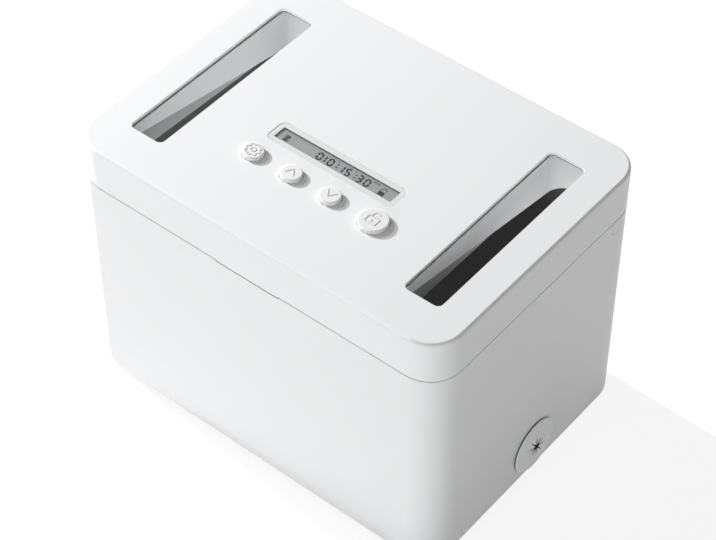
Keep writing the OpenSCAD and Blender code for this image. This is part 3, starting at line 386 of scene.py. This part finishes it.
def digit(bm, char, at):
    """Seven-segment digit about a point, with mitred segment ends."""
    w, h, n, trim = DIGIT_W / 2, DIGIT_H / 2, STROKE / 2, TRIM
    ends = {
        "a": ((-w, h), (w, h)), "g": ((-w, 0), (w, 0)), "d": ((-w, -h), (w, -h)),
        "f": ((-w, 0), (-w, h)), "b": ((w, 0), (w, h)),
        "e": ((-w, -h), (-w, 0)), "c": ((w, -h), (w, 0)),
    }
    for segment in SEGMENTS[char]:
        (x0, y0), (x1, y1) = ends[segment]
        if y0 == y1:
            shape = [(x0 + trim, y0), (x0 + trim + n, y0 + n), (x1 - trim - n, y0 + n),
                     (x1 - trim, y0), (x1 - trim - n, y0 - n), (x0 + trim + n, y0 - n)]
        else:
            shape = [(x0, y0 + trim), (x0 + n, y0 + trim + n), (x0 + n, y1 - trim - n),
                     (x0, y1 - trim), (x0 - n, y1 - trim - n), (x0 - n, y0 + trim + n)]
        plate(bm, [lean(x, y, at) for x, y in shape], LCD_Z, INK)


def leaning_box(bm, x0, y0, x1, y1, at):
    """A filled, leaning rectangle between two corners about a point."""
    plate(bm, [lean(x, y, at) for x, y in ((x0, y0), (x1, y0), (x1, y1), (x0, y1))], LCD_Z, INK)


def leaning_bar(bm, a, b, width, at):
    """A leaning stroke between two points about a point."""
    bar(bm, lean(*a, at), lean(*b, at), width, LCD_Z, INK)


ROW_Y, DOT_Y, DOT = -14.15, 0.95, 0.4
bm = bmesh.new()
for char, x in (("0", -10.1), ("1", -7.85), ("0", -3.5), ("1", 3.0), ("5", 7.0), ("3", 13.9), ("0", 18.3)):
    digit(bm, char, (x, ROW_Y))
for x in (0.5, 11.3):
    for y in (-DOT_Y, DOT_Y):
        leaning_box(bm, -DOT, y - DOT, DOT, y + DOT, (x, ROW_Y))
piece("display_digits", bm, ink, "lid")

# fill of the LCD's padlock and its open shackle
bm = bmesh.new()
pad_at = (27.5, -15.4)
leaning_box(bm, -1.6, -1.4, 1.6, 1.2, pad_at)
arch = [(-0.9, 1.2), (-0.95, 2.4), (-0.4, 3.3), (0.9, 3.5), (1.6, 2.9), (1.7, 2.1)]
for a, b in zip(arch, arch[1:]):
    leaning_bar(bm, a, b, 0.3, pad_at)
# the small stacked bars at the left end
icon_at, ICON_BAR = (-30.1, -14.3), 0.28
for y, w in ((-1.9, 1.3), (-1.1, 1.7), (-0.2, 1.1), (0.7, 1.7), (1.6, 1.3)):
    leaning_box(bm, -w, y - ICON_BAR, w, y + ICON_BAR, icon_at)
leaning_bar(bm, (-0.7, -2.1), (0.7, 1.9), 0.35, icon_at)
piece("display_icons", bm, ink, "lid")

# faint unit marks over the colons and after the last pair of digits
UNIT_PITCH, UNIT_RISE = 0.95, 2.6
bm = bmesh.new()
for x, count in ((-0.4, 1), (9.9, 1), (20.7, 4)):
    for step in range(count):
        at = (x + UNIT_PITCH * step, ROW_Y + UNIT_RISE)
        leaning_bar(bm, (0, -0.35), (0, 0.35), 0.3, at)
        leaning_bar(bm, (-0.3, 0.3), (0.35, 0.3), 0.22, at)
piece("display_units", bm, faint_ink, "lid")


# ---------------------------------------------------------------- marks on the buttons

def button_top(name):
    """Middle of a button's top, in millimetres."""
    low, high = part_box(name)
    return (low.x + high.x) / 2 / MM, (low.y + high.y) / 2 / MM, high.z / MM


# thickness of a mark, how far it sinks into the top, and its place off the button's middle
MARK, MARK_SINK, MARK_SHIFT = 0.2, 0.02, (-0.4, 0.45)


def mark(name, strokes, width, body):
    """Raised lines on a button's top: each stroke is a list of points about its middle."""
    cx, cy, z = button_top(name)
    cx, cy = cx + MARK_SHIFT[0], cy + MARK_SHIFT[1]
    bm = bmesh.new()
    for stroke in strokes:
        for a, b in zip(stroke, stroke[1:]):
            bar(bm, (cx + a[0], cy + a[1]), (cx + b[0], cy + b[1]), width, z - MARK_SINK, MARK)
    piece(name + "_mark", bm, mark_shade_grey, body)


def ring(radius, count=24, start=0, turn=360):
    """Points along an arc; the angles are in degrees."""
    return [(radius * math.cos(math.radians(start + turn * i / count)),
             radius * math.sin(math.radians(start + turn * i / count))) for i in range(count + 1)]


def gear(outer, inner, teeth):
    """Closed outline of a toothed wheel; root and tip are half widths in parts of the pitch."""
    root, tip, points = 0.32, 0.2, []
    for i in range(teeth):
        for part, r in ((-root, inner), (-tip, outer), (tip, outer), (root, inner)):
            a = 2 * math.pi * (i + part) / teeth
            points.append((r * math.cos(a), r * math.sin(a)))
    return points + points[:1]


mark("settings_button", [gear(4.0, 3.2, 8), ring(1.4)], 0.3, "settings_key")
mark("up_button", [[(-2.6, -1.9), (0, 1.9), (2.6, -1.9)]], 0.42, "up_key")
mark("down_button", [[(-2.6, 1.9), (0, -1.9), (2.6, 1.9)]], 0.42, "down_key")
mark("lock_button", [
    [(-3.0, -3.3), (3.0, -3.3), (3.0, 0.9), (-3.0, 0.9), (-3.0, -3.3)],
    [(-1.7, 0.9), (-1.7, 2.2)] + [(x, y + 2.2) for x, y in ring(1.7, 12, 180, -150)],
    [(0, -1.9), (0, -0.7)]], 0.38, "lock_key")


# ---------------------------------------------------------------- room and light

def seen_directly(m):
    """1 for rays that see a surface as it is: camera, glossy and transmitted ones."""
    rays = add(m, "ShaderNodeLightPath")
    result = rays.outputs["Is Camera Ray"]
    for other in ("Is Glossy Ray", "Is Transmission Ray"):
        most = add(m, "ShaderNodeMath", operation="MAXIMUM")
        m.node_tree.links.new(result, most.inputs[0])
        m.node_tree.links.new(rays.outputs[other], most.inputs[1])
        result = most.outputs[0]
    return result


def pale_floor():
    """White floor that throws light back in full, and shows the shadow faintly where it is seen."""
    m = bpy.data.materials.new("floor_white")
    m.use_nodes = True
    m.node_tree.nodes.clear()
    out = add(m, "ShaderNodeOutputMaterial")
    full = add(m, "ShaderNodeBsdfDiffuse", Color=(0.94, 0.94, 0.94, 1))
    part = add(m, "ShaderNodeBsdfDiffuse", Color=(0.22, 0.22, 0.22, 1))
    shine = add(m, "ShaderNodeEmission", Strength=0.84)
    both = add(m, "ShaderNodeAddShader")
    mix = add(m, "ShaderNodeMixShader")
    link(m, part, "BSDF", both, 0)
    link(m, shine, "Emission", both, 1)
    m.node_tree.links.new(seen_directly(m), mix.inputs[0])
    link(m, full, "BSDF", mix, 1)
    link(m, both, "Shader", mix, 2)
    link(m, mix, "Shader", out, "Surface")
    return m


FLOOR_HALF = 6
bm = bmesh.new()
bmesh.ops.create_grid(bm, x_segments=1, y_segments=1, size=FLOOR_HALF)
floor_mesh = bpy.data.meshes.new("floor")
bm.to_mesh(floor_mesh)
bm.free()
floor = bpy.data.objects.new("floor", floor_mesh)
scene.collection.objects.link(floor)
floor_mesh.materials.append(pale_floor())

# the world lights the part softly, and is plain white where it is seen
AMBIENT = 0.25
world = bpy.data.worlds.new("studio")
scene.world = world
world.use_nodes = True
world.node_tree.nodes.clear()
sky = add(world, "ShaderNodeOutputWorld")
soft = add(world, "ShaderNodeBackground", Color=(1, 1, 1, 1), Strength=AMBIENT)
white = add(world, "ShaderNodeBackground", Color=(1, 1, 1, 1), Strength=1.0)
choose = add(world, "ShaderNodeMixShader")
world.node_tree.links.new(seen_directly(world), choose.inputs[0])
link(world, soft, "Background", choose, 1)
link(world, white, "Background", choose, 2)
link(world, choose, "Shader", sky, "Surface")


def lamp(name, azimuth, elevation, distance, size, power, target=(0, 0, 0.12)):
    """An area lamp that looks at the target. Azimuth 0 is in front, 90 on the right."""
    a, e = math.radians(azimuth), math.radians(elevation)
    back = Vector((math.sin(a) * math.cos(e), -math.cos(a) * math.cos(e), math.sin(e)))
    data = bpy.data.lights.new(name, "AREA")
    data.shape = "DISK"
    data.size = size
    data.energy = power
    obj = bpy.data.objects.new(name, data)
    scene.collection.objects.link(obj)
    obj.location = Vector(target) + back * distance
    obj.rotation_mode = "QUATERNION"
    obj.rotation_quaternion = (-back).to_track_quat("-Z", "Y")
    return obj


# two low keys rake across the lid; they would burn out the base's left wall, so that is spared
keys = (lamp("key_left", 267, 20, 2.2, 0.06, 66), lamp("key_left_high", 267, 29, 2.2, 0.08, 20.5))
spared = bpy.data.collections.new("spared_by_key")
for name in ("base_shell", "hinge_cap_left", "hinge_cap_right"):
    spared.objects.link(nodes[name])
for entry in spared.collection_objects:
    entry.light_linking.link_state = "EXCLUDE"
for key in keys:
    key.light_linking.receiver_collection = spared
lamp("front_low", 0, 8, 2.6, 1.4, 24.5)
lamp("right_low", 75, 14, 2.4, 1.0, 2.8)

# light from below the windows, as if thrown back by the contents
WELL_X, WELL_Z, GLOW_W, STRAIGHT_UP = 0.0825, 0.118, 0.018, (0, 1, 0, 0)
for side, power, y, length in ((-1, 0.026, 0, 0.11), (1, 0.013, 0.035, 0.05)):
    glow = lamp("well_glow", 0, -89, 0.01, GLOW_W, power, target=(side * WELL_X, y, WELL_Z))
    glow.data.shape = "RECTANGLE"
    glow.data.size_y = length
    glow.rotation_quaternion = STRAIGHT_UP
    glow.visible_camera = False
    glow.visible_glossy = False


# ---------------------------------------------------------------- camera, as fitted to the photograph

AZIMUTH, ELEVATION, ROLL = math.radians(39.2546), math.radians(45.9593), math.radians(0.0685)
DISTANCE, SIDE, RISE = 1.0946, -0.00088, -0.00717
FOCAL_PX, PHOTO_W, CENTRE_X, CENTRE_Y, HALF_H, SENSOR_MM = 2220.71, 716, 357.768, 246.586, 270, 36
AIM = Vector((0, 0, 0.0784))

right = Vector((math.cos(AZIMUTH), math.sin(AZIMUTH), 0))
back = Vector((math.sin(AZIMUTH) * math.cos(ELEVATION), -math.cos(AZIMUTH) * math.cos(ELEVATION),
               math.sin(ELEVATION)))
up = back.cross(right)
right, up = (right * math.cos(ROLL) - up * math.sin(ROLL), right * math.sin(ROLL) + up * math.cos(ROLL))
lens = bpy.data.cameras.new("photo_camera")
lens.sensor_fit = "HORIZONTAL"
lens.sensor_width = SENSOR_MM
lens.lens = FOCAL_PX / PHOTO_W * SENSOR_MM
lens.shift_x = (PHOTO_W / 2 - CENTRE_X) / PHOTO_W
lens.shift_y = (CENTRE_Y - HALF_H) / PHOTO_W
lens.clip_start, lens.clip_end = 0.05, 50
camera = bpy.data.objects.new("photo_camera", lens)
scene.collection.objects.link(camera)
camera.matrix_world = Matrix.Translation(AIM - right * SIDE - up * RISE + back * DISTANCE) @ Matrix(
    (right, up, back)).transposed().to_4x4()
scene.camera = camera
scene.view_settings.view_transform = "Standard"
